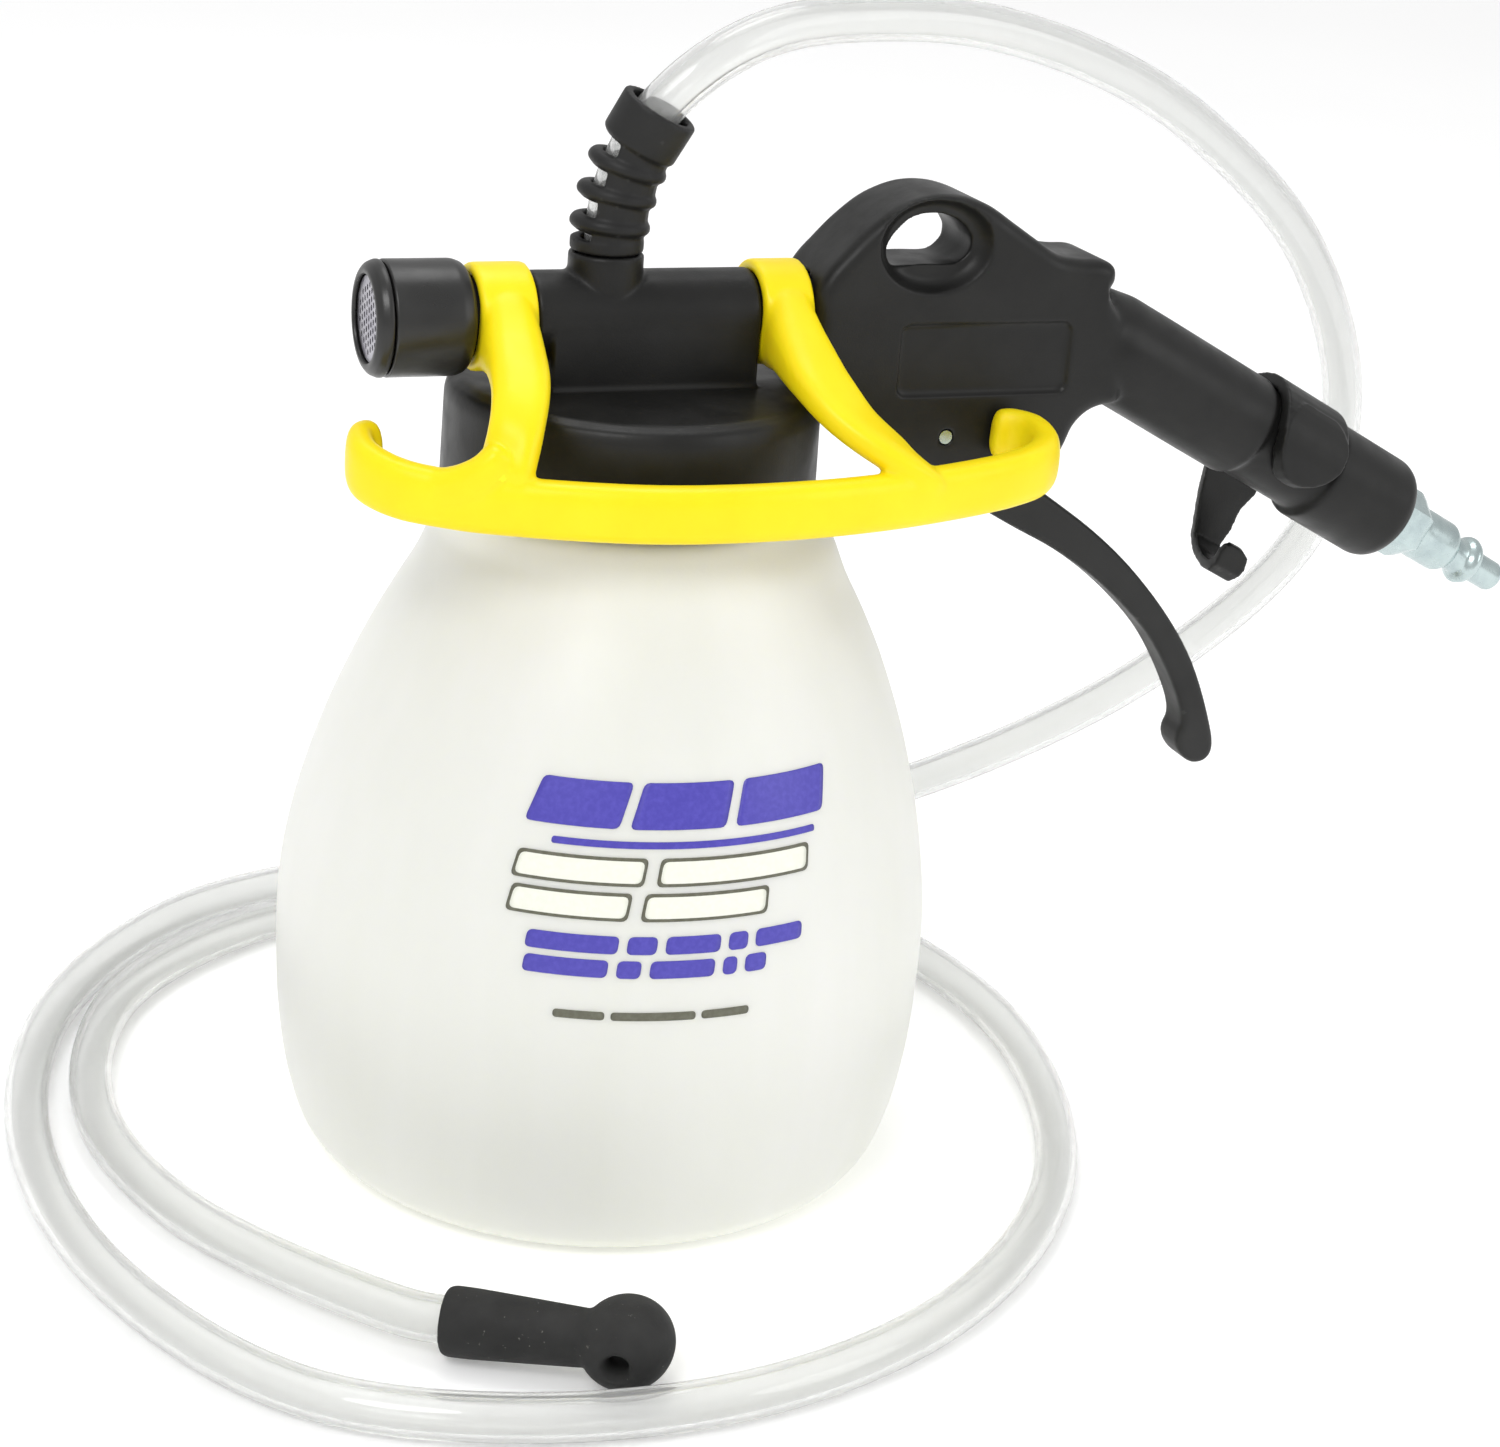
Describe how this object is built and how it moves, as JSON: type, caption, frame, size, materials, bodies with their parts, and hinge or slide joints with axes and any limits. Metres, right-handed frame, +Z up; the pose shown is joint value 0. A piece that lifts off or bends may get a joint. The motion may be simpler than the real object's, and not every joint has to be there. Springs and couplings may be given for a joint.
{
  "type": "air-driven vacuum pump",
  "caption": "Bottle with a screw cap, air-driven venturi tube, gun grip with a latching trigger, swinging bracket, clear hose and rubber adapter.",
  "frame": {"origin": "centre of the bottle's flat base, on the floor", "axes": "+X along the cap's tube from the muffler towards the grip, +Y from the front of the bottle towards the back, +Z up"},
  "size_m": [0.3509, 0.2619, 0.2488],
  "materials": {
    "bottle": "translucent satin",
    "black_plastic": "fine satin",
    "yellow_plastic": "semi-gloss",
    "rubber": "matt",
    "zinc_steel": "zinc plated",
    "brass": "turned",
    "clear_hose": "clear",
    "felt": "pressed",
    "white_plastic": "satin"
  },
  "bodies": {
    "vessel": {"bottle": "bottle", "cap_body": "black_plastic", "cap_gasket": "rubber", "drain_tube": "white_plastic", "float_cup": "white_plastic", "float_grate": "black_plastic", "venturi_nozzle": "brass", "diffuser": "brass", "muffler_body": "black_plastic", "muffler_ring": "black_plastic", "muffler_mesh": "zinc_steel", "silencer_felt": "felt", "hose_barb": "brass", "strain_relief": "rubber", "handle_body": "black_plastic", "trigger_pin": "zinc_steel", "valve_guide": "brass", "valve_seat": "brass", "valve_spring": "zinc_steel", "coupler_plug": "zinc_steel", "hose": "clear_hose", "hose_adapter": "rubber"},
    "trigger_lever": {"trigger": "black_plastic"},
    "plunger": {"valve_plunger": "zinc_steel", "valve_washer": "rubber"},
    "latch": {"latch_clip": "black_plastic"},
    "bail": {"bracket": "yellow_plastic"}
  },
  "joints": [
    {"name": "trigger_hinge", "type": "hinge", "parent": "vessel", "child": "trigger_lever", "pos_m": [0.0672, 0, 0.1591], "axis": [0, -1, 0], "range_deg": [0, 22], "stiffness_Nm_per_rad": 0.15, "springref_deg": -20.05},
    {"name": "plunger_slide", "type": "slide", "parent": "vessel", "child": "plunger", "axis": [0, 0, 1], "range_m": [0, 0.0047], "deforming": ["valve_spring"]},
    {"name": "latch_turn", "type": "hinge", "parent": "vessel", "child": "latch", "pos_m": [0.15, 0, 0.1541], "axis": [-0.8829, 0, 0.4695], "range_deg": [0, 29]},
    {"name": "bracket_swing", "type": "hinge", "parent": "vessel", "child": "bail", "pos_m": [0, 0, 0.1845], "axis": [-1, 0, 0], "range_deg": [0, 95]}
  ],
  "couplings": [
    {"joint": "plunger_slide", "follows": "trigger_hinge", "m_per_rad": 0.0119}
  ]
}
